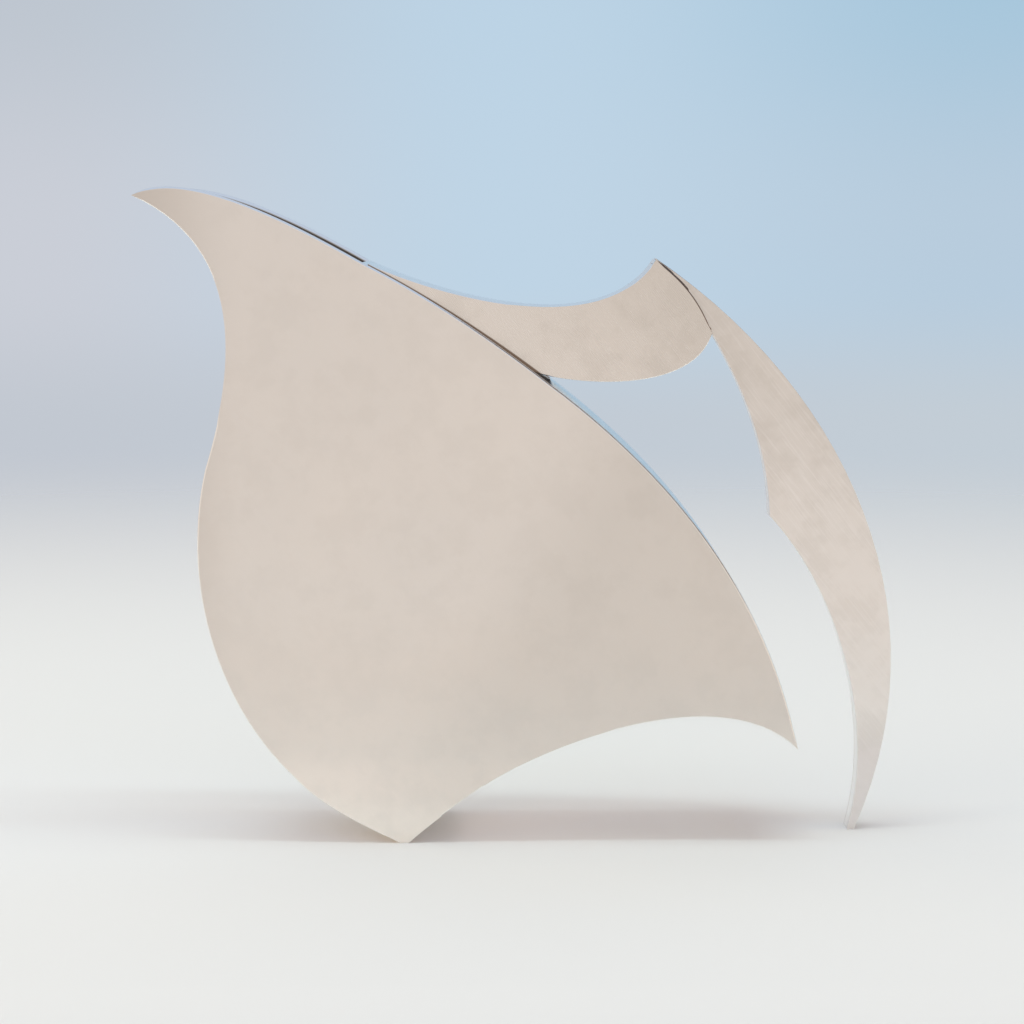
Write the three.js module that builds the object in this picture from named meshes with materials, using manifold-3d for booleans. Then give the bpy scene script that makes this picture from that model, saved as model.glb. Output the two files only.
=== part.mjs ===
// A small cream jug made of sheet silver. Millimetres, +Z up, +X from the spout to the handle's leg.
// The origin is on the table, under the middle of the jug. The jug stands on its ridge and on its leg.

import * as THREE from 'three';
import { mergeVertices } from 'three/addons/utils/BufferGeometryUtils.js';
import Module from 'manifold-3d';

const wasm = await Module();
wasm.setup();

// Driving dimensions
const bodyDepth = 26;
const panelSheet = 1.0;
const wallSheet = 0.9;
const ridgeBarHeight = 1.6;
const tailSolidTop = 19.2;
const tailSolidStart = 40;
const saddleRecess = 2.0;
const mouthEndX = -25.9;
const backWallStartX = 5.6;

const armFrontDepth = 21;
const armEndDepth = 9;
const armFrontX = -25;
const armEndX = 33;
const armSheet = 0.8;

const legDepth = 5.2;
const legSheet = 0.8;
const footSolidHeight = 6;
const legElbowHeight = 54.5;

const solderGap = 0.05;
const curveSteps = 28;
const overrunSteps = 8;
const beyond = 200;

// Corners of the side view, as [x, z]
const spoutTip = [-63.8, 108.8];
const throat = [-52.2, 63.4];
const chin = [-37.8, 11.3];
const ridgeFront = [-19.9, 0];
const ridgeRear = [-18.5, 0];
const bellyTurn = [-4.7, 10.5];
const tailTip = [47.2, 16];
const backTop = [backWallStartX, 77.4];
const rimBend = [-25.5, 97.6];
const armTip = [23.2, 98.1];
const armHeel = [32.8, 85.8];
const armLanding = [-2.2, 81];
const armTurn = [2, 79.5];
const legTip = [23.3, 98.3];
const legFootOuter = [58.1, 0];
const legFootInner = [56.9, 0];
const legElbow = [43, legElbowHeight];

// Each edge is a chain of cubic curves, and the inside of its outline lies on its left
const breastEdge = edge(
  [spoutTip, [-44.7, 100.1], [-46.9, 80.3], throat],
  [throat, [-56.5, 45.4], [-51.3, 24.2], chin],
  [chin, [-34.2, 7.3], [-28.6, 3.9], ridgeFront],
);
const bellyEdge = edge(
  [ridgeRear, [-14.6, 3.4], [-8.7, 8], bellyTurn],
  [bellyTurn, [6.8, 17.6], [34.7, 28.2], tailTip],
);
const backEdge = edge([tailTip, [42, 41.8], [26.4, 61.8], backTop]);
const rimEdge = edge([backTop, [-4.5, 85.2], [-14.2, 91.8], rimBend]);
const spoutEdge = edge([rimBend, [-33.5, 102.1], [-55, 114.4], spoutTip]);
const armTopEdge = edge([armTip, [14.2, 83.9], [-13.3, 92.3], [armFrontX, 97.5]]);
const armEndEdge = edge([armHeel, [30.5, 91.5], [28, 94.4], armTip]);
const armBottomEdge = edge(
  [armLanding, [-0.8, 80.5], [0.6, 80], armTurn],
  [armTurn, [9.8, 76.9], [30, 75.4], armHeel],
);
const legOuterEdge = edge([legFootOuter, [74.3, 38], [56, 76.3], legTip]);
const legLowerEdge = edge([legElbow, [54.9, 42], [62, 18.6], legFootInner]);
const legUpperEdge = edge([armHeel, [38.4, 76.3], [42.7, 66.2], legElbow]);

const silver = { color: 0xd6ccc2, roughness: 0.34, metalness: 1 };
const shadedSilver = { color: 0xbdb4aa, roughness: 0.38, metalness: 1 };
const brightSilver = { color: 0xe2dcd4, roughness: 0.28, metalness: 1 };

// Points along a chain of cubic curves, without repeating the corners between them
function edge(...curves) {
  const points = [];
  for (const corners of curves) {
    const curve = new THREE.CubicBezierCurve(...corners.map(([x, z]) => new THREE.Vector2(x, z)));
    points.push(...curve.getPoints(curveSteps).slice(points.length > 0 ? 1 : 0));
  }
  return points;
}

// The same edge moved to its left by a distance, or to its right where the distance is negative
function inset(points, distance) {
  return points.map((point, index) => {
    const before = points[Math.max(index - 1, 0)];
    const after = points[Math.min(index + 1, points.length - 1)];
    const along = after.clone().sub(before).normalize();
    return new THREE.Vector2(point.x - along.y * distance, point.y + along.x * distance);
  });
}

// A closed outline from edges that follow one another, with shared corners kept once
function outline(...edges) {
  const points = edges.flat();
  return points.filter((point, index) => point.distanceTo(points.at(index - 1)) > 1e-6);
}

// A solid that has the outline in side view and lies between two depths
function plate(points, frontY, backY) {
  const shape = new THREE.Shape(points);
  const geometry = new THREE.ExtrudeGeometry(shape, { depth: backY - frontY, bevelEnabled: false });
  geometry.rotateX(Math.PI / 2);
  geometry.translate(0, backY, 0);
  return solid(geometry);
}

function box(lowX, highX, lowZ, highZ) {
  const geometry = new THREE.BoxGeometry(highX - lowX, beyond, highZ - lowZ);
  geometry.translate((lowX + highX) / 2, 0, (lowZ + highZ) / 2);
  return solid(geometry);
}

// A bent strip along an edge, from an overhang outside it to a thickness inside it
function band(points, thickness, depth, overhang = 1) {
  const outer = inset(points, -overhang);
  const inner = inset(points, thickness).reverse();
  return plate([...outer, ...inner], -depth / 2, depth / 2);
}

function solid(geometry) {
  geometry.deleteAttribute('normal');
  geometry.deleteAttribute('uv');
  const merged = mergeVertices(geometry, 1e-5);
  const mesh = new wasm.Mesh({
    numProp: 3,
    vertProperties: new Float32Array(merged.attributes.position.array),
    triVerts: new Uint32Array(merged.index.array),
  });
  return new wasm.Manifold(mesh);
}

function piece(name, manifold, look) {
  const { vertProperties, triVerts } = manifold.getMesh();
  const geometry = new THREE.BufferGeometry();
  geometry.setAttribute('position', new THREE.BufferAttribute(new Float32Array(vertProperties), 3));
  geometry.setIndex(new THREE.BufferAttribute(new Uint32Array(triVerts), 1));
  geometry.computeVertexNormals();
  const mesh = new THREE.Mesh(geometry, new THREE.MeshStandardMaterial(look));
  mesh.name = name;
  return mesh;
}

// Body: two flat panels, with bent walls, a ridge bar and a saddle between them
function bodyPieces() {
  const bodyOutline = outline(breastEdge, bellyEdge, backEdge, rimEdge, spoutEdge);
  const innerDepth = bodyDepth - 2 * panelSheet;
  const core = plate(bodyOutline, -innerDepth / 2, innerDepth / 2);
  const ridgeZone = box(-beyond, beyond, -1, ridgeBarHeight);
  const tailZone = box(tailSolidStart, beyond, 0, tailSolidTop);
  const mouthZone = box(-beyond, backWallStartX, 0, beyond);

  const breast = core.intersect(band(breastEdge, wallSheet, innerDepth)).subtract(ridgeZone);
  const belly = core.intersect(band(bellyEdge, wallSheet, innerDepth)).subtract(ridgeZone).subtract(tailZone);
  const backLine = [...backEdge.slice(1), ...rimEdge.slice(1)];
  const backZone = band(backLine, wallSheet, bodyDepth).add(tailZone).subtract(mouthZone);

  const left = plate(bodyOutline, -bodyDepth / 2, -innerDepth / 2);
  const right = plate(bodyOutline, innerDepth / 2, bodyDepth / 2);
  return [
    piece('left_side_panel', left, silver),
    piece('right_side_panel', right, silver),
    piece('breast_wall', breast, shadedSilver),
    piece('belly_wall', belly, shadedSilver),
    piece('back_wall', core.intersect(backZone), brightSilver),
    piece('base_ridge_bar', core.intersect(ridgeZone), shadedSilver),
    piece('saddle_plate', saddle(core, innerDepth), shadedSilver),
  ];
}

// The saddle is a shallow tray under the arm, with both ends turned up to the rim
function saddle(core, depth) {
  const behind = backEdge.slice(-overrunSteps);
  const ahead = spoutEdge.slice(1, overrunSteps);
  const top = [...behind, ...rimEdge.slice(1), ...ahead];
  const tray = band(top, saddleRecess + wallSheet, depth).subtract(band(top, saddleRecess, depth + 2));
  const span = box(mouthEndX, backWallStartX + wallSheet, 0, beyond);
  const turnedUp = core.intersect(band(top, saddleRecess + wallSheet, depth));
  const frontLip = turnedUp.intersect(box(mouthEndX, mouthEndX + wallSheet, 0, beyond));
  const rearLip = turnedUp.intersect(box(backWallStartX, backWallStartX + wallSheet, 0, beyond));
  const underBack = rearLip.subtract(band(top, wallSheet + solderGap, depth + 2));
  return tray.intersect(span).add(frontLip).add(underBack);
}

// A block that tapers in plan from the arm's front to its end, less a thickness on each side
function armTaper(thickness) {
  const front = armFrontDepth / 2 - thickness;
  const end = armEndDepth / 2 - thickness;
  const plan = new THREE.Shape();
  plan.moveTo(armFrontX - 1, -front);
  plan.lineTo(armEndX + 1, -end);
  plan.lineTo(armEndX + 1, end);
  plan.lineTo(armFrontX - 1, front);
  return solid(new THREE.ExtrudeGeometry(plan, { depth: beyond, bevelEnabled: false }));
}

// Handle arm: two tapered cheeks, with a top, a bottom and an end wall between them
function armPieces() {
  const landing = inset(rimEdge, saddleRecess - solderGap).filter((point) => point.x < armLanding[0]);
  const armOutline = outline(armBottomEdge, armEndEdge, armTopEdge, [...landing].reverse());
  const behindLip = box(mouthEndX + wallSheet + solderGap, beyond, 0, beyond);
  const block = plate(armOutline, -bodyDepth / 2, bodyDepth / 2).intersect(behindLip);
  const whole = block.intersect(armTaper(0));
  const hollow = block.intersect(armTaper(armSheet + solderGap));
  const cheeks = whole.subtract(armTaper(armSheet));
  const rightHalf = box(-beyond, beyond, 0, beyond).translate(0, beyond / 2, 0);

  const endWall = hollow.intersect(band(armEndEdge, armSheet, bodyDepth));
  const endZone = band(armEndEdge, armSheet + solderGap, bodyDepth + 2);
  const topWall = hollow.intersect(band(armTopEdge, armSheet, bodyDepth)).subtract(endZone);
  const topZone = band(armTopEdge, armSheet + solderGap, bodyDepth + 2);
  const bottomWall = hollow.intersect(band(armBottomEdge, armSheet, bodyDepth));
  return [
    piece('arm_left_cheek', cheeks.subtract(rightHalf), silver),
    piece('arm_right_cheek', cheeks.intersect(rightHalf), silver),
    piece('arm_top_wall', topWall, brightSilver),
    piece('arm_bottom_wall', bottomWall.subtract(endZone).subtract(topZone), shadedSilver),
    piece('arm_end_wall', endWall, shadedSilver),
  ];
}

// Leg: a hollow blade from the arm's end to the table, with a solid foot
function legPieces() {
  const legOutline = outline([...armEndEdge].reverse(), legUpperEdge, legLowerEdge, legOuterEdge);
  const innerDepth = legDepth - 2 * legSheet;
  const jointZone = band(armEndEdge, 1, bodyDepth, solderGap);
  const slice = (frontY, backY) => plate(legOutline, frontY, backY).subtract(jointZone);
  const core = slice(-innerDepth / 2, innerDepth / 2);
  const footZone = box(-beyond, beyond, -1, footSolidHeight);
  const lowZone = box(-beyond, beyond, -1, legElbowHeight);
  const strip = (points) => core.intersect(band(points, legSheet, innerDepth)).subtract(footZone);
  const outerZone = band(legOuterEdge, legSheet + solderGap, bodyDepth);
  return [
    piece('leg_left_face', slice(-legDepth / 2, -innerDepth / 2), silver),
    piece('leg_right_face', slice(innerDepth / 2, legDepth / 2), silver),
    piece('leg_outer_wall', strip(legOuterEdge), brightSilver),
    piece('leg_inner_wall_upper', strip(legUpperEdge).subtract(lowZone).subtract(outerZone), shadedSilver),
    piece('leg_inner_wall_lower', strip(legLowerEdge).intersect(lowZone).subtract(outerZone), shadedSilver),
    piece('foot_pad', core.intersect(footZone), shadedSilver),
  ];
}

const jug = new THREE.Group();
jug.add(...bodyPieces(), ...armPieces(), ...legPieces());

export default jug;
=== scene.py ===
"""The look of a small sheet-silver cream jug, on a pale studio floor. Metres, +Z up."""

import math

import bmesh
import bpy
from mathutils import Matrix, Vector


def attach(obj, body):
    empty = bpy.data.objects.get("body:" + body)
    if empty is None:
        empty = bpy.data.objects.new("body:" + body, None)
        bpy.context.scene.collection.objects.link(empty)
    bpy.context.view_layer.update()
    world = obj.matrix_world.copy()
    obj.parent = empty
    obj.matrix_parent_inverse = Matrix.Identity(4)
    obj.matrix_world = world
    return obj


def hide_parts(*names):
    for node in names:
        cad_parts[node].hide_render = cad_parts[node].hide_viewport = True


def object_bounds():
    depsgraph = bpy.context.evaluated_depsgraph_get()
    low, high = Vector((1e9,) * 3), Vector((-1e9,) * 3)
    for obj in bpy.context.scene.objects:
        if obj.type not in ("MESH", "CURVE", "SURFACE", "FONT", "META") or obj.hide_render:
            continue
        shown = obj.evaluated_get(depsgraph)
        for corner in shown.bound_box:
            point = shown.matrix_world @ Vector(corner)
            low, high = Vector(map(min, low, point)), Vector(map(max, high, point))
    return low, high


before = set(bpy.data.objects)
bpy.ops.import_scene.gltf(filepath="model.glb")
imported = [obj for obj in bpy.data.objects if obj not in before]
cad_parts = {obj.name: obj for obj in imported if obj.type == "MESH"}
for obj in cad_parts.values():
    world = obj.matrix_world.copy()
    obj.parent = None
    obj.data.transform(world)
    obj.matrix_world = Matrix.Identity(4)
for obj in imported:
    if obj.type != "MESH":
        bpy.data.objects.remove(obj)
cad_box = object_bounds()

MM = 0.001
ROUNDING_STEPS = 4
# An outline has a corner where it turns by more than this, and extra points at these distances from it.
CORNER_TURN = math.radians(20)
CORNER_SPACING = (0.08, 0.25, 0.6)

# How each piece is finished, with lengths in millimetres.
# outer and inner are the roundings of its edges, away from and towards the jug's middle plane.
# fold rounds the corners of its side view, and grow closes the solder gap at its sides.
# rim and inner_rim take their place on the open rim.
SHARP = 0.004
SIDE_GROWTH = 0.049
FLAT = {"slot": "satin_silver", "look": "panel", "outer": 0.15, "inner": SHARP, "fold": 0.0, "grow": 0.0}
STRIP = {"slot": "wall_silver", "look": "wall", "outer": SHARP, "inner": SHARP, "fold": 0.12, "grow": 0.0}
SIDE_PANEL = FLAT | {"outer": 0.35, "rim": 0.4, "inner_rim": 0.5}
PIECES = {
    "left_side_panel": SIDE_PANEL,
    "right_side_panel": SIDE_PANEL,
    "breast_wall": STRIP,
    "belly_wall": STRIP,
    "back_wall": STRIP,
    "base_ridge_bar": STRIP,
    "saddle_plate": STRIP | {"fold": 0.3},
    "arm_left_cheek": FLAT | {"look": "arm"},
    "arm_right_cheek": FLAT | {"look": "arm"},
    "arm_top_wall": STRIP | {"grow": SIDE_GROWTH},
    "arm_bottom_wall": STRIP | {"grow": SIDE_GROWTH},
    "arm_end_wall": STRIP | {"grow": SIDE_GROWTH},
    "leg_left_face": FLAT | {"look": "leg", "outer": 0.05},
    "leg_right_face": FLAT | {"look": "leg", "outer": 0.05},
    "leg_outer_wall": STRIP,
    "leg_inner_wall_upper": STRIP,
    "leg_inner_wall_lower": STRIP,
    "foot_pad": STRIP,
}
# The flat pieces that meet edge to edge, with painted shade along the joint between them.
SEAMS = {
    "arm_left_cheek": "leg_left_face",
    "arm_right_cheek": "leg_right_face",
    "leg_left_face": "arm_left_cheek",
    "leg_right_face": "arm_right_cheek",
}
# How near a seam an edge counts as part of the joint, over what distance that ends, and its rounding
# there.
# All lengths from here to the crevice are in millimetres.
SEAM_REACH = 0.6
SEAM_FADE = 0.3
SEAM_EDGE = 0.24
# Edges face up or down when their outward direction has more than this share of up in it.
FACING_UP = 0.3
FACING_DOWN = -0.05
# Above this height, edges that face up are the body's open rim.
OPEN_RIM_FROM = 77.3
# The most rounding of edges that face down.
UNDER_EDGE = 0.2
# The inner edge of the open rim is taller than it is deep.
INNER_RIM_DROP = 1.25
# The most rounding in a sharp corner and how fast it grows away from it, then the same for thin places.
CORNER_ROUNDING = (0.003, 0.12)
THIN_ROUNDING = (0.002, 0.3)
# A width that is more than any real one on this jug.
WIDE = 50.0
# Corner cuts and extra points take up at most this share of a step of the outline.
MOST_OF_A_STEP = 0.45
# How long a mitre may grow: at most one over this.
MITRE_LIMIT = 0.3
# Painted shade in the crevice on the arm, this far above the body's rim: at the arm's front, half way and
# where it ends.
CREVICE_RISE = (-0.02, 0.03, 0.22)
CREVICE_FADE = 0.27

# Places along the jug and above the table, in metres.
SPOUT_TIP_X = cad_box[0].x
SPOUT_LENGTH = 0.019
CLEAN_HEIGHT = 0.022
HOLLOW_FADE = 0.002
ARM_INSET = 0.003


def front_of(name):
    """The least X of a CAD node."""
    return min(vert.co.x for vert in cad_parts[name].data.vertices)


MOUTH_BACK_X = front_of("saddle_plate")
ARM_FRONT_X = front_of("arm_left_cheek")
LANDING_X = front_of("arm_bottom_wall") + ARM_INSET

# Colours of the metal, and of the painted shade and highlight on it.
TINT = (0.87, 0.842, 0.806, 1)
# The walls' silver, tinted brighter than the same silver on the panels: a painted sheen.
WALL_SHEEN_TINT = (0.96, 0.95, 0.935, 1)
LEG_TINT = (0.905, 0.88, 0.85, 1)
# The colour of wear and of painted shade.
WEAR_AND_SHADE_TINT = (0.735, 0.706, 0.665, 1)
# Painted shade on the spout's tip.
SPOUT_PAINTED_SHADE = (0.7, 0.665, 0.625, 1)
# Painted shade inside the mouth and behind the arm.
HOLLOW_PAINTED_SHADE = (0.22, 0.2, 0.185, 1)
# Painted shade in the joint between arm and leg.
JOINT_PAINTED_SHADE = (0.27, 0.19, 0.145, 1)
# Painted shade in the crevice between arm and body.
CREVICE_PAINTED_SHADE = (0.24, 0.18, 0.14, 1)
# Polished edges, lightened into a painted highlight.
POLISH_AND_HIGHLIGHT_TINT = (1.0, 0.985, 0.95, 1)
# How fine the scratches and the drawn grain are in X, Y and Z, and how the scratches lean.
SCRATCHES = (4200, 900, 130)
GRAIN = (160, 4200, 160)
DIAGONAL = math.radians(38)

# How tall the tone ramps are, in metres. Each stop is a share of that height and a colour.
TONE_HEIGHT = 0.05
# The panel is lighter and warmer towards the table: a painted reflection of the table.
PANEL_TONES_WITH_PAINTED_REFLECTION = [
    (0.04, (1.0, 0.945, 0.88, 1)),
    (0.2, (0.94, 0.869, 0.806, 1)),
    (0.34, (0.87, 0.817, 0.764, 1)),
    (0.52, (0.86, 0.812, 0.762, 1)),
    (0.9, TINT),
]
# Each look: a tint or tones, then the noise and the marks that silver() lays over it.
# The span along lean where wear and painted shade begin and are full, and their strength, come next.
# Then painted shade on the spout's tip, and whether the crevice between arm and body gets painted shade.
BRUSHED = {
    "tint": TINT,
    "stretch": SCRATCHES,
    "turn": DIAGONAL,
    "roughness": 0.34,
    "wear_and_shade_strength": 0.62,
    "spout_shade": 0.0,
    "crevice_shaded": False,
    "grain": 0.3,
}
PANEL = BRUSHED | {
    "tones": PANEL_TONES_WITH_PAINTED_REFLECTION,
    "lean": (1, 0, -0.6),
    # On the panel this darkens it towards the right end: painted shade.
    "worn_and_shaded": (-0.038, -0.014),
    "spout_shade": 1.0,
    "mottled": 0.16,
    "marked": 0.06,
    "grain": 0.12,
}
ARM = BRUSHED | {
    "roughness": 0.26,
    "lean": (1, 0, 1),
    "worn_and_shaded": (0.078, 0.13),
    "wear_and_shade_strength": 0.92,
    "crevice_shaded": True,
    "mottled": 0.34,
    "marked": 0.17,
    "grain": 0.14,
}
LEG = BRUSHED | {
    # The leg is darker towards the table.
    "tones": [(0.25, (0.83, 0.79, 0.775, 1)), (0.42, LEG_TINT)],
    "lean": (0, 0, 1),
    "worn_and_shaded": (0.045, 0.085),
    "mottled": 0.3,
    "marked": 0.4,
}
NEVER_WORN_AND_SHADED = (1, 2)
WALL = BRUSHED | {
    "tint": WALL_SHEEN_TINT,
    "stretch": GRAIN,
    "turn": 0.0,
    "roughness": 0.3,
    "lean": (1, 0, 0),
    "worn_and_shaded": NEVER_WORN_AND_SHADED,
    "mottled": 0.05,
    "marked": 0.05,
}

# Bumps: the scale of their noise, their strength and their height. The grain has its own scale.
WAVES = (22, 0.22, 1.2 * MM)
SPECKS = (900, 0.25, 0.04 * MM)
GRAIN_HEIGHT = 0.06 * MM
# Noise scales of the clouds and patches, and the levels of the noise where each begins and is full.
CLOUD_SCALE = 38
PATCH_SCALE = 190
CLOUD_LEVELS = (0.35, 0.68)
PATCH_LEVELS = (0.4, 0.66)
SCRATCH_LEVELS = (0.5, 0.72)
CLOUD_DULLNESS = 0.12
# How much the clouds and the scratches change the roughness, and the share that polished edges keep.
CLOUD_UNEVENNESS = 0.03
GRAIN_UNEVENNESS = 0.035
UNEVEN_LEVELS = (0.3, 0.7)
EDGE_ROUGHNESS = 0.35
# Where the polished edge's painted highlight is full, and how strong it is.
EDGE_POLISH_AND_HIGHLIGHT = (0.6, 0.95)
# How much of the wear and painted shade is left at the table.
WEAR_AND_SHADE_AT_TABLE = 0.25

# Each light: place, aim, width, height, power and colour.
FOOT = (0, 0, 0)
LIGHTS = {
    "front_strip": ((0, -0.12, 0.9), FOOT, 0.9, 0.08, 1.7, (0.77, 0.98, 1.0)),
    "overhead_strip": ((0, 0.02, 0.9), FOOT, 0.9, 0.08, 0.7, (0.8, 0.98, 1.0)),
    "overhead_wide": ((0, -0.1, 0.9), FOOT, 1.0, 1.0, 0.85, (1.0, 0.86, 0.36)),
    "back_panel": ((0, 1.0, 0.75), FOOT, 1.8, 1.0, 1.4, (1.0, 0.6, 0.1)),
    "front_low": ((0, -1.3, 0.3), FOOT, 2.2, 0.6, 3.0, (1.0, 0.2, 0.1)),
    "right_low": ((1.3, -0.1, 0.25), FOOT, 1.5, 0.4, 5.4, (1.0, 0.6, 0.15)),
    "left_low": ((-1.3, -0.1, 0.25), FOOT, 1.5, 0.4, 13.6, (1.0, 0.75, 0.4)),
    # What the bright belly throws back onto the table
    "belly_glow": ((0.001, 0, 0.0085), (0.006, 0, 0), 0.024, 0.026, 0.0003, (1.0, 0.85, 0.8)),
}


# ---------- reading a piece's side view from its CAD node ----------


# A face belongs to a flat side when its direction has at least this share of straight sideways in it.
SQUARE_ENOUGH = 0.98


def side_faces(bm, side):
    """The faces of a piece's flat side: side is -1 for the left of the jug and 1 for the right."""
    return {face for face in bm.faces if face.normal.y * side > SQUARE_ENOUGH}


def side_line(faces):
    """Slope and offset of a side's depth along X, because the handle's cheeks taper."""
    points = [vert.co / MM for face in faces for vert in face.verts]
    mean_x = sum(p.x for p in points) / len(points)
    mean_y = sum(p.y for p in points) / len(points)
    spread = sum((p.x - mean_x) ** 2 for p in points)
    slope = sum((p.x - mean_x) * (p.y - mean_y) for p in points) / spread
    return slope, mean_y - slope * mean_x


def boundary_loop(faces):
    """The outline of a flat side as (x, z) points in millimetres, counter-clockwise."""
    links = {}
    for face in faces:
        for edge in face.edges:
            if sum(other in faces for other in edge.link_faces) == 1:
                a, b = edge.verts
                links.setdefault(a, []).append(b)
                links.setdefault(b, []).append(a)
    start = next(iter(sorted(links, key=lambda vert: (vert.co.x, vert.co.z))))
    loop, before, here = [start], None, start
    while True:
        ahead = [vert for vert in links[here] if vert is not before]
        before, here = here, ahead[0]
        if here is start:
            break
        loop.append(here)
    points = [Vector((vert.co.x / MM, vert.co.z / MM)) for vert in loop]
    area = sum(a.x * b.y - b.x * a.y for a, b in zip(points, points[1:] + points[:1]))
    return points if area > 0 else points[::-1]


def side_view(node):
    """A piece's outline from the side, and the line that each of its sides follows."""
    bm = bmesh.new()
    bm.from_mesh(node.data)
    bmesh.ops.remove_doubles(bm, verts=bm.verts, dist=1e-6)
    bm.normal_update()
    near, far = side_faces(bm, -1), side_faces(bm, 1)
    view = boundary_loop(near), side_line(near), side_line(far)
    bm.free()
    return view


# ---------- shaping an outline ----------


def turn_at(points, index):
    """How far the outline turns at a point."""
    here = points[index]
    behind = here - points[index - 1]
    ahead = points[(index + 1) % len(points)] - here
    return behind.angle(ahead, 0.0)


def without_crumbs(points, least=0.12):
    """Drops points that crowd their neighbour, but keeps the corners."""
    kept = []
    for index, point in enumerate(points):
        crowded = kept and (point - kept[-1]).length < least
        if crowded and turn_at(points, index) > CORNER_TURN:
            kept[-1] = point
        elif not crowded:
            kept.append(point)
    if (kept[0] - kept[-1]).length < least:
        kept.pop()
    return kept


def folded(points, radius):
    """Rounds the corners of the outline."""
    result = []
    for index, point in enumerate(points):
        turn = turn_at(points, index)
        if radius == 0 or turn < CORNER_TURN:
            result.append(point)
            continue
        back = points[index - 1] - point
        ahead = points[(index + 1) % len(points)] - point
        cut = min(radius * math.tan(turn / 2), MOST_OF_A_STEP * min(back.length, ahead.length))
        start = point + back.normalized() * cut
        end = point + ahead.normalized() * cut
        for t in (0, 0.25, 0.5, 0.75, 1):
            result.append(start * (1 - t) ** 2 + point * 2 * t * (1 - t) + end * t * t)
    return result


def with_corner_points(points):
    """Adds points close to each sharp corner, so that the rounding can fade towards it."""
    result = []
    for index, point in enumerate(points):
        following = points[(index + 1) % len(points)]
        step = following - point
        near = turn_at(points, index) > CORNER_TURN
        far = turn_at(points, (index + 1) % len(points)) > CORNER_TURN
        spacing = [d / step.length for d in CORNER_SPACING if d < MOST_OF_A_STEP * step.length]
        stops = []
        if near:
            stops += spacing
        if far:
            stops += [1 - share for share in spacing]
        result.append(point)
        result.extend(point + step * t for t in sorted(stops))
    return result


def corner_distances(points):
    """Distance from each point to the nearest sharp corner, along the outline."""
    count = len(points)
    lengths = [(points[(i + 1) % count] - points[i]).length for i in range(count)]
    distance = [0.0 if turn_at(points, i) > CORNER_TURN else 1e9 for i in range(count)]
    for i in range(2 * count):
        a, b = i % count, (i + 1) % count
        distance[b] = min(distance[b], distance[a] + lengths[a])
    for i in range(2 * count, 0, -1):
        a, b = i % count, (i - 1) % count
        distance[b] = min(distance[b], distance[a] + lengths[b])
    return distance


def outward_normals(points):
    """Directions straight out of a counter-clockwise outline, one for each point."""
    result = []
    for index, point in enumerate(points):
        behind = (point - points[index - 1]).normalized()
        ahead = (points[(index + 1) % len(points)] - point).normalized()
        along = (behind + ahead).normalized()
        result.append(Vector((along.y, -along.x)))
    return result


def inward_shifts(points, normals):
    """How far each point moves for one millimetre of inset, along its mitre."""
    result = []
    for index, point in enumerate(points):
        behind = (point - points[index - 1]).normalized()
        square = Vector((behind.y, -behind.x))
        result.append(-normals[index] / max(square.dot(normals[index]), MITRE_LIMIT))
    return result


def thicknesses(points, normals):
    """How far the far side of the outline is from each point, straight inwards."""
    result = []
    for index, (point, normal) in enumerate(zip(points, normals)):
        least = WIDE
        for other, start in enumerate(points):
            end = points[(other + 1) % len(points)]
            if index in (other, (other + 1) % len(points)):
                continue
            span = end - start
            cross = -normal.x * span.y + normal.y * span.x
            if abs(cross) < 1e-9:
                continue
            gap = start - point
            inwards = (gap.x * span.y - gap.y * span.x) / cross
            place = (-gap.x * normal.y + gap.y * normal.x) / -cross
            if inwards > 1e-6 and 0 <= place <= 1:
                least = min(least, inwards)
        result.append(least)
    return result


def smoothed(values):
    """Each value round the outline, evened out with its two neighbours."""
    count = len(values)
    return [(values[i - 1] + 2 * values[i] + values[(i + 1) % count]) / 4 for i in range(count)]


def radii(points, normals, room, seams, plain, rim):
    """Rounding at each point: larger on the open rim, and fading to nothing at sharp corners."""
    wanted = []
    for point, normal, seam in zip(points, normals, seams):
        size = plain
        if rim is not None and normal.y > FACING_UP and point.y > OPEN_RIM_FROM:
            size = rim
        elif normal.y < FACING_DOWN:
            size = min(plain, UNDER_EDGE)
        wanted.append(max(size, SEAM_EDGE * seam))
    for _ in range(3):
        wanted = smoothed(wanted)
    result = []
    for size, far, wide in zip(wanted, corner_distances(points), room):
        in_corner = CORNER_ROUNDING[0] + CORNER_ROUNDING[1] * far
        in_thin_place = THIN_ROUNDING[0] + THIN_ROUNDING[1] * wide
        result.append(min(size, in_corner, in_thin_place))
    return result


def distance_to(outline, point):
    """From a point to the nearest place on an outline."""
    least = WIDE
    for index, start in enumerate(outline):
        span = outline[(index + 1) % len(outline)] - start
        t = max(0.0, min(1.0, (point - start).dot(span) / span.length_squared))
        least = min(least, (start + span * t - point).length)
    return least


def seam_shades(points, name):
    """Painted shade in a joint: 1 where the outline runs along the piece that it is soldered to, and 0
    elsewhere.
    """
    neighbour = SEAMS.get(name)
    if neighbour is None:
        return [0.0] * len(points)
    outline = without_crumbs(side_view(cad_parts[neighbour])[0])
    gaps = [distance_to(outline, point) for point in points]
    return [max(0.0, min(1.0, (SEAM_REACH - gap) / SEAM_FADE)) for gap in gaps]


# ---------- building a piece ----------


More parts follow.
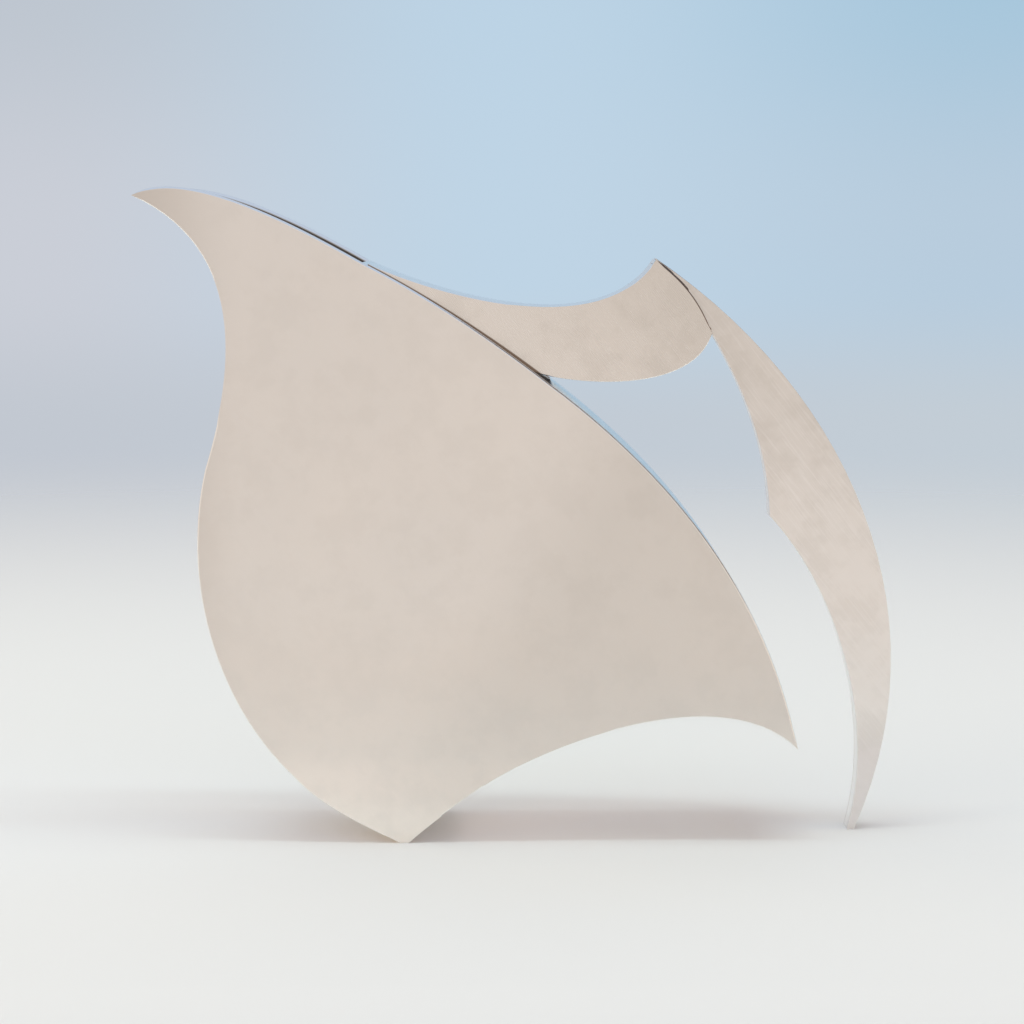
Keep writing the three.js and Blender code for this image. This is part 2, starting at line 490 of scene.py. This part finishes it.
def rounded_rings(points, normals, side, line, radius, inward, seams):
    """Rings over one rounded edge, from the side wall onto the flat side.

    Each point of a ring is (place, normal, polished edge with painted highlight, painted shade inside,
    painted shade in a joint).
    """
    slope, offset = line
    flat_normal = Vector((-slope * side, side, 0)).normalized()
    shifts = inward_shifts(points, normals)
    drop = INNER_RIM_DROP if inward else 1.0
    rings = []
    for step in range(ROUNDING_STEPS + 1):
        angle = math.pi / 2 * step / ROUNDING_STEPS
        ring = []
        for point, normal, shift, r, seam in zip(points, normals, shifts, radius, seams):
            place = point + shift * (r * drop * (1 - math.cos(angle)))
            depth = slope * place.x + offset - side * r * (1 - math.sin(angle))
            wall_normal = Vector((normal.x, 0, normal.y))
            facing = wall_normal * math.cos(angle) + flat_normal * math.sin(angle)
            # Mask for the painted shade inside the hollows
            deep = step / ROUNDING_STEPS if inward else 0.0
            # Painted shade on the rounding along a joint
            dark = seam if 0 < step < ROUNDING_STEPS else 0.0
            # Polished edges with a painted highlight, strongest half way round
            polish_and_highlight = math.sin(2 * angle)
            ring.append(((place.x, depth, place.y), facing.normalized(), polish_and_highlight, deep, dark))
        rings.append(ring)
    return rings


def mesh_from_rings(name, rings):
    """A closed mesh through the rings, with a flat face at each end."""
    count = len(rings[0])
    spots = [spot for ring in rings for spot in ring]
    faces = [list(range(count))]
    for r in range(len(rings) - 1):
        for i in range(count):
            j = (i + 1) % count
            faces.append([r * count + i, (r + 1) * count + i, (r + 1) * count + j, r * count + j])
    faces.append([(len(rings) - 1) * count + i for i in reversed(range(count))])
    mesh = bpy.data.meshes.new(name)
    mesh.from_pydata([Vector(spot[0]) * MM for spot in spots], [], faces)
    # Masks for the polished edges' painted highlight, the painted shade in the hollows and the painted
    # shade in joints.
    for place, label in ((2, "edge_polish_and_highlight"), (3, "inside"), (4, "seam")):
        values = mesh.attributes.new(label, "FLOAT", "POINT")
        values.data.foreach_set("value", [spot[place] for spot in spots])
    mesh.shade_smooth()
    mesh.normals_split_custom_set_from_vertices([spot[1] for spot in spots])
    return mesh


def finished_piece(name, finish):
    """The CAD piece again, with its edges rounded, in the same place."""
    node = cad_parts[name]
    points, near_line, far_line = side_view(node)
    points = with_corner_points(folded(without_crumbs(points), finish["fold"]))
    normals = outward_normals(points)
    near_line = near_line[0], near_line[1] - finish["grow"]
    far_line = far_line[0], far_line[1] + finish["grow"]
    middle = near_line[1] + far_line[1]
    rim = finish.get("rim")
    room = thicknesses(points, normals)
    seams = seam_shades(points, name)
    plain = [0.0] * len(points)
    outer = radii(points, normals, room, seams, finish["outer"], rim)
    inner = radii(points, normals, room, plain, finish["inner"], finish.get("inner_rim"))
    near_radius, far_radius = (outer, inner) if middle < 0 else (inner, outer)
    hollow = rim is not None
    near_inward = hollow and middle > 0
    far_inward = hollow and middle < 0
    near_rings = rounded_rings(points, normals, -1, near_line, near_radius, near_inward, seams)
    far_rings = rounded_rings(points, normals, 1, far_line, far_radius, far_inward, seams)
    mesh = mesh_from_rings(name + "_finished", near_rings[::-1] + far_rings)
    piece = bpy.data.objects.new(name + "_finished", mesh)
    bpy.context.scene.collection.objects.link(piece)
    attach(piece, "root")
    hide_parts(name)
    return piece


# ---------- materials ----------


class Nodes:
    """A short way to add and join shader nodes. Inputs are sockets of other nodes, or values."""

    def __init__(self, tree):
        self.tree = tree
        tree.nodes.clear()

    def add(self, kind, inputs=None, **settings):
        node = self.tree.nodes.new(kind)
        for key, value in settings.items():
            setattr(node, key, value)
        for key, value in (inputs or {}).items():
            if isinstance(value, bpy.types.NodeSocket):
                self.tree.links.new(value, node.inputs[key])
            else:
                node.inputs[key].default_value = value
        return node

    def ranged(self, value, low, high, to_low=0.0, to_high=1.0, smooth=False):
        """The value's way from low to high, as a way from to_low to to_high, and never past them."""
        node = self.add("ShaderNodeMapRange", {0: value, 1: low, 2: high, 3: to_low, 4: to_high})
        node.interpolation_type = "SMOOTHSTEP" if smooth else "LINEAR"
        return node.outputs[0]

    def mixed(self, factor, a, b):
        """A colour between two others. The mix node keeps its colours at inputs 6 and 7."""
        return self.add("ShaderNodeMix", {0: factor, 6: a, 7: b}, data_type="RGBA").outputs[2]

    def maths(self, operation, a, b):
        return self.add("ShaderNodeMath", {0: a, 1: b}, operation=operation).outputs[0]

    def attribute(self, name):
        return self.add("ShaderNodeAttribute", attribute_name=name).outputs["Fac"]

    def split(self, vector):
        return self.add("ShaderNodeSeparateXYZ", {0: vector}).outputs

    def noise(self, place, scale, detail, roughness=0.5):
        """Soft noise from 0 to 1. A scale of 100 has bumps of about a hundredth of a metre."""
        inputs = {"Vector": place, "Scale": scale, "Detail": detail, "Roughness": roughness}
        return self.add("ShaderNodeTexNoise", inputs).outputs[0]

    def bumped(self, height, strength, distance, before=None):
        """Bumps, on top of the ones that came before."""
        inputs = {"Height": height, "Strength": strength, "Distance": distance}
        if before is not None:
            inputs["Normal"] = before
        return self.add("ShaderNodeBump", inputs).outputs[0]

    def ramp(self, value, *stops):
        """A colour that changes smoothly through the stops, each a place from 0 to 1 and a colour."""
        node = self.add("ShaderNodeValToRGB", {0: value})
        node.color_ramp.interpolation = "EASE"
        elements = node.color_ramp.elements
        while len(elements) < len(stops):
            elements.new(0.5)
        for element, (at, colour) in zip(elements, stops):
            element.position = at
            element.color = colour
        return node.outputs[0]


def linear(red, green, blue):
    """A colour given as screen values from 0 to 255."""
    parts = [value / 255 for value in (red, green, blue)]
    return [p / 12.92 if p <= 0.04045 else ((p + 0.055) / 1.055) ** 2.4 for p in parts] + [1]


def rim_height(x):
    """How high the body's rim is at one place along the jug, in millimetres."""
    outline = side_view(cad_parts["left_side_panel"])[0]
    heights = []
    for index, end in enumerate(outline):
        start = outline[index - 1]
        if min(start.x, end.x) <= x <= max(start.x, end.x) and start.x != end.x:
            share = (x - start.x) / (end.x - start.x)
            heights.append(start.y + (end.y - start.y) * share)
    return max(heights)


def crevice(nodes, split):
    """Painted shade: 1 on the foot of the arm, close above the body's rim, and 0 higher up."""
    front, back = ARM_FRONT_X / MM, LANDING_X / MM
    places = front, (front + back) / 2, back
    first, second, third = [rim_height(x) + rise for x, rise in zip(places, CREVICE_RISE)]
    bend = 2 * (first + third - 2 * second)
    slope = third - first - bend
    t = nodes.maths("DIVIDE", nodes.maths("SUBTRACT", split["X"], ARM_FRONT_X), LANDING_X - ARM_FRONT_X)
    line = nodes.maths("ADD", nodes.maths("MULTIPLY", t, bend * MM), slope * MM)
    line = nodes.maths("ADD", nodes.maths("MULTIPLY", t, line), first * MM)
    above = nodes.maths("SUBTRACT", split["Z"], line)
    return nodes.ranged(above, CREVICE_FADE * MM, 0, 0, 1, smooth=True)


def dullness(nodes, look, place, split, grain, cloud):
    """How dull the silver is: more with wear and painted shade along one direction and in soft patches,
    and less on its scratches.
    """
    lean = nodes.add("ShaderNodeVectorMath", {0: place, 1: look["lean"]}, operation="DOT_PRODUCT")
    worn_and_shaded = nodes.ranged(lean.outputs["Value"], *look["worn_and_shaded"], 0, look["wear_and_shade_strength"], smooth=True)
    # Close to the table the wear and painted shade are weaker
    share = nodes.ranged(split["Z"], 0, CLEAN_HEIGHT, WEAR_AND_SHADE_AT_TABLE, 1)
    worn_and_shaded = nodes.maths("MULTIPLY", worn_and_shaded, share)
    clouded = nodes.ranged(cloud, *CLOUD_LEVELS, 0, CLOUD_DULLNESS, smooth=True)
    patch = nodes.noise(place, PATCH_SCALE, 3, 0.6)
    mottled = nodes.ranged(patch, *PATCH_LEVELS, 0, look["mottled"], smooth=True)
    marked = nodes.ranged(grain, *SCRATCH_LEVELS, 0, -look["marked"])
    return nodes.maths("ADD", nodes.maths("ADD", worn_and_shaded, marked), nodes.maths("ADD", clouded, mottled))


def painted_shade_in_hollows(nodes, along):
    """Painted shade: 1 on the inner faces of the mouth and of the body behind the arm, and 0 elsewhere.
    """
    inside = nodes.ranged(nodes.attribute("inside"), 0.7, 1)
    mouth = nodes.ranged(along, MOUTH_BACK_X, MOUTH_BACK_X + HOLLOW_FADE, 1, 0)
    behind_arm = nodes.ranged(along, LANDING_X, LANDING_X + HOLLOW_FADE)
    return nodes.maths("MULTIPLY", inside, nodes.maths("MAXIMUM", mouth, behind_arm))


def silver_colour(nodes, look, place, grain, cloud, polish_and_highlight):
    """The metal's tone, with a painted reflection of the table on the panel, then wear and painted shade,
    painted shade on the spout, the polished edges' painted highlight, and painted shade in the hollows,
    the crevice and the joints.
    """
    split = nodes.split(place)
    tone = look["tint"]
    if "tones" in look:
        # On the panel the tones are a painted reflection of the table
        tone = nodes.ramp(nodes.ranged(split["Z"], 0, TONE_HEIGHT), *look["tones"])
    # Wear and painted shade, then soft patches and scratches
    colour = nodes.mixed(dullness(nodes, look, place, split, grain, cloud), tone, WEAR_AND_SHADE_TINT)
    spout_end = SPOUT_TIP_X + SPOUT_LENGTH
    # Painted shade, darkest at the spout's tip
    spout_shade = nodes.ranged(split["X"], SPOUT_TIP_X, spout_end, look["spout_shade"], 0, smooth=True)
    colour = nodes.mixed(spout_shade, colour, SPOUT_PAINTED_SHADE)
    # Polished edges, lightened into a painted highlight
    highlight_full, highlight_strength = EDGE_POLISH_AND_HIGHLIGHT
    colour = nodes.mixed(nodes.ranged(polish_and_highlight, 0, highlight_full, 0, highlight_strength), colour, POLISH_AND_HIGHLIGHT_TINT)
    # Painted shade inside the hollows
    colour = nodes.mixed(painted_shade_in_hollows(nodes, split["X"]), colour, HOLLOW_PAINTED_SHADE)
    # Painted shade in the crevice between arm and body
    if look["crevice_shaded"]:
        colour = nodes.mixed(crevice(nodes, split), colour, CREVICE_PAINTED_SHADE)
    # Painted shade along the joints
    return nodes.mixed(nodes.attribute("seam"), colour, JOINT_PAINTED_SHADE)


def silver_roughness(nodes, look, grain, cloud, polish_and_highlight):
    """Soft unevenness and scratches, smoother on the polished edges."""
    middle = look["roughness"]
    uneven = nodes.ranged(cloud, *UNEVEN_LEVELS, middle - CLOUD_UNEVENNESS, middle + CLOUD_UNEVENNESS)
    scratched = nodes.ranged(grain, *UNEVEN_LEVELS, -GRAIN_UNEVENNESS, GRAIN_UNEVENNESS)
    rough = nodes.maths("ADD", uneven, scratched)
    return nodes.maths("MULTIPLY", rough, nodes.ranged(polish_and_highlight, 0, 1, 1, EDGE_ROUGHNESS))


def silver_bumps(nodes, look, place, grain):
    """Slow waves in the sheet, with specks and then the grain on them."""
    scale, strength, height = WAVES
    bumps = nodes.bumped(nodes.noise(place, scale, 1), strength, height)
    scale, strength, height = SPECKS
    bumps = nodes.bumped(nodes.noise(place, scale, 2, 0.6), strength, height, bumps)
    return nodes.bumped(grain, look["grain"], GRAIN_HEIGHT, bumps)


def silver(name, look):
    """Satin silver: fine scratches along one direction, soft unevenness, and polished edges, with painted
    shade, reflection and highlight in its colour.
    """
    material = bpy.data.materials.new(name)
    material.use_nodes = True
    nodes = Nodes(material.node_tree)
    place = nodes.add("ShaderNodeTexCoord").outputs["Object"]
    turned = nodes.add("ShaderNodeMapping", {"Vector": place, "Rotation": (0, look["turn"], 0)})
    stretched = nodes.add("ShaderNodeMapping", {"Vector": turned.outputs[0], "Scale": look["stretch"]})
    grain = nodes.noise(stretched.outputs[0], 1, 3, 0.6)
    cloud = nodes.noise(place, CLOUD_SCALE, 3)
    polish_and_highlight = nodes.attribute("edge_polish_and_highlight")
    finish = {
        "Base Color": silver_colour(nodes, look, place, grain, cloud, polish_and_highlight),
        "Metallic": 1.0,
        "Roughness": silver_roughness(nodes, look, grain, cloud, polish_and_highlight),
        "Normal": silver_bumps(nodes, look, place, grain),
    }
    shader = nodes.add("ShaderNodeBsdfPrincipled", finish)
    nodes.add("ShaderNodeOutputMaterial", {"Surface": shader.outputs[0]})
    return material


# ---------- studio ----------


FLOOR_RINGS = (0.1, 0.2, 0.35, 0.6, 1.0, 1.6, 2.4)
FLOOR_SIDES = 96
# Where the floor begins to fade and is gone: away from the jug, and towards the front.
FLOOR_FADE_AWAY = (0.17, 0.85)
FLOOR_FADE_FRONT = (-0.1, -0.17)
PAPER = (0.83, 0.832, 0.83, 1)


def studio_floor():
    """A round sheet of pale paper that fades into the surroundings."""
    bm = bmesh.new()
    centre = bm.verts.new((0, 0, 0))
    ring_before = None
    for radius in FLOOR_RINGS:
        turns = [math.tau * i / FLOOR_SIDES for i in range(FLOOR_SIDES)]
        ring = [bm.verts.new((radius * math.cos(a), radius * math.sin(a), 0)) for a in turns]
        for i in range(FLOOR_SIDES):
            j = (i + 1) % FLOOR_SIDES
            if ring_before:
                bm.faces.new((ring_before[i], ring[i], ring[j], ring_before[j]))
            else:
                bm.faces.new((centre, ring[i], ring[j]))
        ring_before = ring
    mesh = bpy.data.meshes.new("studio_floor")
    bm.to_mesh(mesh)
    bm.free()
    floor = bpy.data.objects.new("studio_floor", mesh)
    bpy.context.scene.collection.objects.link(floor)

    material = bpy.data.materials.new("floor_paper")
    material.use_nodes = True
    nodes = Nodes(material.node_tree)
    place = nodes.add("ShaderNodeTexCoord").outputs["Object"]
    away = nodes.add("ShaderNodeVectorMath", {0: place}, operation="LENGTH").outputs["Value"]
    fade_away = nodes.ranged(away, *FLOOR_FADE_AWAY, smooth=True)
    fade_front = nodes.ranged(nodes.split(place)["Y"], *FLOOR_FADE_FRONT, smooth=True)
    fade = nodes.maths("MAXIMUM", fade_away, fade_front)
    paper = nodes.add("ShaderNodeBsdfDiffuse", {"Color": PAPER})
    clear = nodes.add("ShaderNodeBsdfTransparent")
    blend = nodes.add("ShaderNodeMixShader", {0: fade, 1: paper.outputs[0], 2: clear.outputs[0]})
    nodes.add("ShaderNodeOutputMaterial", {"Surface": blend.outputs[0]})
    mesh.materials.append(material)


# Three colours across the back, from left to right, at three heights.
BACK_HIGH = linear(190, 198, 208), linear(188, 211, 229), linear(168, 199, 220)
BACK_LEVEL = linear(202, 206, 215), linear(191, 212, 229), linear(184, 204, 221)
BACK_LOW = linear(194, 200, 209), linear(194, 203, 213), linear(195, 205, 214)
BENEATH = linear(228, 229, 227)
IN_FRONT = linear(231, 221, 213)
OVERHEAD = linear(190, 203, 224)
DARK_ROOM = linear(124, 107, 92)
# Where one colour gives way to the next: shares of a direction that point right, up or back.
ACROSS = (-0.18, 0.18)
BENEATH_FADE = (-0.165, -0.2)
LEVEL_FADE = (-0.075, -0.02)
HIGH_FADE = (0.0, 0.09)
OVERHEAD_FADE = (0.2, 0.6)
BACK_FADE = (-0.2, 0.5)
# The dark room begins further to the right the higher it is.
ROOM_LEAN = -0.6
ROOM_RIGHT_FADE = (0.0, 0.07)
ROOM_UP_FADE = (0.25, 0.4)
ROOM_BACK_FADE = (0.6, 0.4)
ROOM_FRONT_FADE = (-0.6, -0.4)


def studio_world():
    """Pale blue behind the jug and above it, and warm pale grey in front of it.

    Directions are from the jug: X to the right, Y to the back and Z up.
    """
    world = bpy.data.worlds.new("studio")
    world.use_nodes = True
    bpy.context.scene.world = world
    nodes = Nodes(world.node_tree)
    split = nodes.split(nodes.add("ShaderNodeTexCoord").outputs["Generated"])
    across = nodes.ranged(split["X"], *ACROSS)
    backs = [nodes.ramp(across, *zip((0, 0.5, 1), row)) for row in (BACK_LOW, BACK_LEVEL, BACK_HIGH)]
    back = nodes.mixed(nodes.ranged(split["Z"], *BENEATH_FADE, smooth=True), backs[0], BENEATH)
    back = nodes.mixed(nodes.ranged(split["Z"], *LEVEL_FADE, smooth=True), back, backs[1])
    back = nodes.mixed(nodes.ranged(split["Z"], *HIGH_FADE, smooth=True), back, backs[2])
    around = nodes.mixed(nodes.ranged(split["Y"], *BACK_FADE, smooth=True), IN_FRONT, back)
    colour = nodes.mixed(nodes.ranged(split["Z"], *OVERHEAD_FADE, smooth=True), around, OVERHEAD)
    colour = nodes.mixed(dark_room(nodes, split), colour, DARK_ROOM)
    light = nodes.add("ShaderNodeBackground", {"Color": colour, "Strength": 1.0})
    nodes.add("ShaderNodeOutputWorld", {"Surface": light.outputs[0]})


def dark_room(nodes, split):
    """1 towards a dark warm room beyond the right end of the table, above the floor."""
    leaning = nodes.maths("ADD", split["X"], nodes.maths("MULTIPLY", split["Z"], ROOM_LEAN))
    right = nodes.ranged(leaning, *ROOM_RIGHT_FADE, smooth=True)
    above = nodes.ranged(split["Z"], *ROOM_UP_FADE, smooth=True)
    back_end = nodes.ranged(split["Y"], *ROOM_BACK_FADE, smooth=True)
    front_end = nodes.ranged(split["Y"], *ROOM_FRONT_FADE, smooth=True)
    room = nodes.maths("MULTIPLY", right, above)
    return nodes.maths("MULTIPLY", room, nodes.maths("MULTIPLY", back_end, front_end))


def soft_light(name, place, aim, width, height, power, colour):
    """A large soft light that the silver doesn't mirror."""
    lamp = bpy.data.lights.new(name, "AREA")
    lamp.shape = "RECTANGLE"
    lamp.size = width
    lamp.size_y = height
    lamp.energy = power
    lamp.color = colour
    holder = bpy.data.objects.new(name, lamp)
    holder.location = place
    holder.rotation_euler = (Vector(aim) - Vector(place)).to_track_quat("-Z", "Y").to_euler()
    holder.visible_glossy = False
    bpy.context.scene.collection.objects.link(holder)


CAMERA_PLACE = (-0.001, -0.461, 0.1039)
LOOKS_DOWN = math.radians(6.067)


def camera():
    """A long lens that looks at the jug's left side, from the height of its spout and a little down."""
    lens = bpy.data.cameras.new("camera")
    lens.lens = 94.92
    lens.sensor_width = 36
    lens.clip_start = 0.01
    lens.clip_end = 50
    holder = bpy.data.objects.new("camera", lens)
    holder.location = CAMERA_PLACE
    holder.rotation_euler = (math.pi / 2 - LOOKS_DOWN, 0, 0)
    bpy.context.scene.collection.objects.link(holder)
    bpy.context.scene.camera = holder


MATERIALS = {
    "panel": silver("satin_silver_panel", PANEL),
    "arm": silver("satin_silver_arm", ARM),
    "leg": silver("satin_silver_leg", LEG),
    "wall": silver("wall_silver", WALL),
}

for piece_name, piece_finish in PIECES.items():
    made = finished_piece(piece_name, piece_finish)
    made.data.materials.append(MATERIALS[piece_finish["look"]])

studio_floor()
studio_world()
for light_name, (place, aim, width, height, power, colour) in LIGHTS.items():
    soft_light(light_name, place, aim, width, height, power, colour)
camera()
bpy.context.scene.view_settings.view_transform = "Standard"
